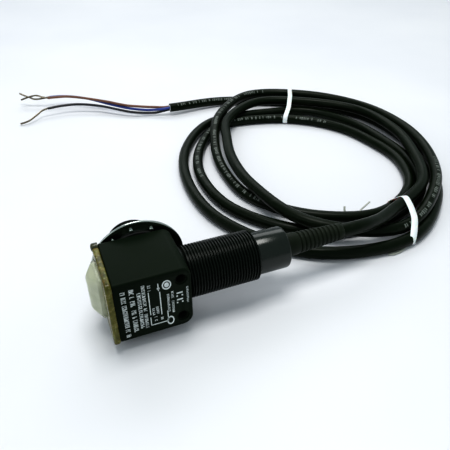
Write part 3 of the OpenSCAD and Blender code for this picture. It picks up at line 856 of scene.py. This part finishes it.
def build_cut_end(line):
    """The cut end of the jacket: the pale filler round the wires."""
    end = line[-1]
    head = (line[-1] - line[-2]).normalized()
    up = (Vector((0, 0, 1)) - head * head.z).normalized()
    side = head.cross(up)

    def spot(s, r, a):
        return end + head * (s * MM) + (up * math.cos(a) + side * math.sin(a)) * (r * MM)

    filler = Shape()
    filler.lathe([(-0.3, 1.75), (0.02, 1.75), (0.3, 1.6), (0.45, 1.2), (0.5, 0.5), (0.5, 0.1)], spot, 32,
                 start_cap=True, end_cap=True)
    return filler.piece("cable_cut_filler", FILLER, "root")


def build_cable():
    line = smooth_line(coil_knots())
    cable = curve_piece("cable_jacket", line, CABLE_D * MM, JACKET,
                        ["cable_lead", "cable_coil", "cable_tail"])
    along = distances(line)
    first = (len(LEAD) - 1) * STEPS

    def at_place(k):
        return along[min(len(along) - 1, int(first + k * STEPS))]

    runs = [(at_place(12.0), at_place(13.8)), (at_place(17.8), at_place(22.4)),
            (at_place(28.6), at_place(33.2)), (at_place(53.4), along[-1] - 0.004)]
    marks = build_cable_print(line, runs)
    filler = build_cut_end(line)
    tuple(line[0])
    length_of(line)
    return cable, line


def build_wire(name, route, material, node, tip_node, ends):
    line = smooth_line([table(*p) for p in route], 6)
    wire = curve_piece(name, line, WIRE_D * MM, material, [node])
    heading = (line[-1] - line[-2]).normalized()
    tip = strands(name + "_strands", line[-1], heading, [table(*p) for p in ends], [tip_node])
    tuple(line[0])
    length_of(line)
    return wire


# ---------------------------------------------------------------- the ties
def crossings(line, middle, direction, across):
    """Where the cable passes a tie's upright plane: places along it and heights, in mm."""
    out = []
    for a, b in zip(line, line[1:]):
        da, db = (a - middle).dot(across), (b - middle).dot(across)
        if da * db <= 0 and da != db:
            p = a.lerp(b, da / (da - db))
            if abs((p - middle).dot(direction)) < 0.024 and p.z < 0.013:
                out.append(((p - middle).dot(direction) / MM, p.z / MM))
    return out


def hull(points):
    """The convex hull of points in a plane, anticlockwise."""
    points = sorted(set(points))

    def half(seq):
        out = []
        for p in seq:
            while len(out) > 1 and ((out[-1][0] - out[-2][0]) * (p[1] - out[-2][1])
                                    - (out[-1][1] - out[-2][1]) * (p[0] - out[-2][0])) <= 0:
                out.pop()
            out.append(p)
        return out

    low, high = half(points), half(reversed(points))
    return low[:-1] + high[:-1]


def build_tie(name, line, spot, degrees, lean, width, tails, stands_for):
    """A flat strap pulled round the turns it holds; it leans out of its plane where it is slack."""
    angle = math.radians(degrees)
    middle = table(spot[0], spot[1], 0)
    direction = Vector((math.cos(angle), math.sin(angle), 0))
    across = Vector((-math.sin(angle), math.cos(angle), 0))
    thick = 0.5
    cloud = []
    for w, z in crossings(line, middle, direction, across):
        for k in range(24):
            a = 2 * math.pi * k / 24
            cloud.append((round(w + 3.0 * math.cos(a), 3), round(max(0.42, z + 3.0 * math.sin(a)), 3)))
    loop = hull(cloud)
    path = []
    for (w0, z0), (w1, z1) in zip(loop, loop[1:] + loop[:1]):
        n = max(1, int(math.hypot(w1 - w0, z1 - z0) / 0.9))
        for k in range(n):
            w, z = w0 + (w1 - w0) * k / n, z0 + (z1 - z0) * k / n
            side = curve_through(lean, w) * (1.0 if z > 0.6 else 0.9)
            path.append(middle + direction * ((w + 0.38 * abs(min(0.0, side))) * MM) + across * (side * MM)
                        + Vector((0, 0, z * MM)))
    path = soften(path, 3)
    strap = Shape()
    strap.rings(strap_rings(path, across, width, thick, True), loop=True)
    ends = Shape()
    for points, wide in tails:
        tail = smooth_line([table(*p) for p in points], 6)
        ends.rings(strap_rings(tail, None, wide, 0.45, False), start_cap=True, end_cap=True)
    # The tails take the darker nylon copy: painted shade.
    if tails:
        ends.piece(name.replace("strap", "ends"), TIE_ENDS_SHADED, "root", (), 60)
    return strap.piece(name, TIE, "root", stands_for, 60)


def curve_through(table_of, value):
    """Straight-line lookup in (place, amount) pairs."""
    if value <= table_of[0][0]:
        return table_of[0][1]
    for (a, p), (b, q) in zip(table_of, table_of[1:]):
        if value <= b:
            return p + (q - p) * (value - a) / (b - a)
    return table_of[-1][1]


def soften(path, times):
    """Rounds a closed path by averaging neighbours."""
    for _ in range(times):
        path = [(path[i - 1] + p * 2 + path[(i + 1) % len(path)]) / 4 for i, p in enumerate(path)]
    return path


def strap_rings(path, flat, width, thick, closed):
    """Cross-sections of a strap: slightly domed outside, flat inside, rounded edges."""
    rings = []
    count = len(path)
    for i, p in enumerate(path):
        a = path[(i - 1) % count] if closed else path[max(0, i - 1)]
        b = path[(i + 1) % count] if closed else path[min(count - 1, i + 1)]
        head = (b - a).normalized()
        if flat is None:
            wide = head.cross(Vector((0, 0, 1))).normalized()
        else:
            wide = (flat - head * flat.dot(head)).normalized()
        out = head.cross(wide) if flat is not None else wide.cross(head)
        ring = []
        for w, t in ((-1, 0.0), (-0.92, 0.36), (-0.5, 0.47), (0, 0.5), (0.5, 0.47), (0.92, 0.36), (1, 0.0),
                     (0.92, -0.36), (0, -0.42), (-0.92, -0.36)):
            q = p + wide * (w * width / 2 * MM) + out * (t * thick * MM)
            q.z = max(0.03 * MM, q.z)
            ring.append(q)
        rings.append(ring)
    return rings


# ---------------------------------------------------------------- build everything
cable, cable_line = build_cable()
build_wire("brown_wire_cover", BROWN_ROUTE, BROWN, "brown_wire", "brown_tip",
           [(-26.8, 206.2, 6.3), (-30.1, 208.8, 6.9), (-33.8, 209, 6.6), (-37.9, 209.4, 5.6), (-40, 210, 5)])
build_wire("blue_wire_cover", BLUE_ROUTE, BLUE, "blue_wire", "blue_tip",
           [(-27, 206.6, 5.3), (-31.9, 208, 5), (-34, 210, 5.3), (-37.4, 212.4, 6.6), (-40, 214.4, 7.8)])
build_wire("black_wire_cover", BLACK_ROUTE, BLACK, "black_wire", "black_tip",
           [(-29, 188.6, 4.4), (-32.7, 185.3, 3.4), (-37.8, 181.3, 2), (-40.8, 181.1, 1.4),
            (-43.1, 181.5, 1)])
build_tie("far_tie_strap", cable_line, (111.7, 135), 58,
          [(-14, -0.3), (-10, -1.0), (-6, -1.6), (5, -1.4), (11, -0.8), (17, -0.4)], 2.7, [], ["far_tie"])
build_tie("near_tie_strap", cable_line, (103, 8), -98,
          [(-12, 0.8), (-7, 1.2), (-2, 1.0), (3, 0.0), (6, -1.8), (8.5, -3.8), (10, -5.0)], 2.8,
          [([(96.5, -0.4, 0.9), (93.3, -1.8, 0.6), (90.3, -3, 0.5), (87.6, -3.3, 0.5),
             (85.2, -2.8, 0.5)], 2.2),
           ([(81.9, 22.9, 3.2), (81.9, 24.6, 5), (82.5, 25.8, 6.2)], 0.9),
           ([(85.4, 21.2, 3.2), (89.1, 22.2, 5.5), (93.5, 23.2, 7.5)], 0.7)], ["near_tie"])

build_head()
build_label()
build_barrel()
build_nose()
build_ring()
build_gasket()
build_frame()
build_dome("dome_moulding", DOME, 0.0, 1.0, -0.3, ["indicator_dome"])
build_dome("dome_core", CREAM, 0.9, 0.72, -0.2, [])
build_collar()
build_relief()

for node, material in (
        ("front_window", WINDOW), ("lens_holder", HOLDER), ("emitter_lens", LENS),
        ("receiver_lens", LENS), ("emitter_led", LAMP), ("receiver_diode", CHIP),
        ("main_board", BOARD), ("control_chip", CHIP), ("board_parts", PARTS), ("led_board", BOARD),
        ("status_leds", LAMP), ("cap_seal", GASKET), ("board_pins", PINS), ("power_board", BOARD),
        ("output_chip", CHIP), ("cable_clamp", CLAMP), ("inner_leads", LEADS), ("cable_entry", JACKET)):
    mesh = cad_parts[node].data
    mesh.materials.clear()
    mesh.materials.append(material)


# ---------------------------------------------------------------- table, light and camera
def build_table():
    """A pale table top that sweeps up into a back wall."""
    mat, tree, shader, coords = nodes_of("table_top")
    tone = noise(tree, coords, 6, 3.0, 0.5)
    tree.links.new(ramp(tree, tone, [(0.3, (0.69, 0.69, 0.725)), (0.7, (0.75, 0.745, 0.77))]),
                   shader.inputs["Base Color"])
    shader.inputs["Roughness"].default_value = 0.55
    floor = Shape()
    half, back, high = 1.6, 0.9, 1.6
    rows = [(-half, 0.0), (0.0, 0.0), (0.55, 0.0)]
    rows += [(back + 0.35 * math.sin(math.radians(t)), 0.35 * (1 - math.cos(math.radians(t))))
             for t in range(0, 91, 15)]
    rows += [(back + 0.35, high)]
    for y, z in rows:
        floor.points.extend([Vector((-half, y, z)), Vector((half, y, z))])
    for i in range(len(rows) - 1):
        a = 2 * i
        floor.faces.append((a, a + 1, a + 3, a + 2))
    mesh = bpy.data.meshes.new("table_sweep")
    mesh.from_pydata([tuple(p) for p in floor.points], [], floor.faces)
    mesh.polygons.foreach_set("use_smooth", [True] * len(mesh.polygons))
    mesh.materials.append(mat)
    place("table_sweep", mesh)


def area_light(name, spot, aim, size, power, colour):
    light = bpy.data.lights.new(name, "AREA")
    light.shape = "RECTANGLE"
    light.size, light.size_y = size
    light.energy = power
    light.color = colour
    obj = place(name, light)
    obj.location = spot
    obj.rotation_euler = (Vector(aim) - Vector(spot)).to_track_quat("-Z", "Y").to_euler()


build_table()
area_light("overhead", (0.02, 0.06, 0.75), (0.02, 0.04, 0.0), (0.38, 0.3), 2.5, (1.0, 1.0, 0.97))
area_light("fill_left", (-0.9, -0.3, 0.6), (0.0, 0.05, 0.0), (0.9, 0.7), 1.3, (0.96, 0.98, 1.0))
area_light("back_window", (0.25, 0.95, 0.8), (0.03, 0.05, 0.0), (1.2, 0.5), 3.4, (0.98, 1.0, 1.0))

world = bpy.data.worlds.new("studio")
world.use_nodes = True
world.node_tree.nodes["Background"].inputs["Color"].default_value = (0.86, 0.97, 1.0, 1.0)
world.node_tree.nodes["Background"].inputs["Strength"].default_value = 0.42
bpy.context.scene.world = world
bpy.context.scene.view_settings.view_transform = "Standard"
bpy.context.scene.view_settings.look = "High Contrast"

camera_data = bpy.data.cameras.new("camera")
camera_data.lens = 39.8
camera_data.sensor_width = 36.0
camera_data.clip_start = 0.005
camera = place("camera", camera_data)
camera.location = table(-33.7, -121.8, 126.7)
camera.rotation_euler = (math.radians(90 - 35.87), 0.0, math.radians(-22.1))
bpy.context.scene.camera = camera
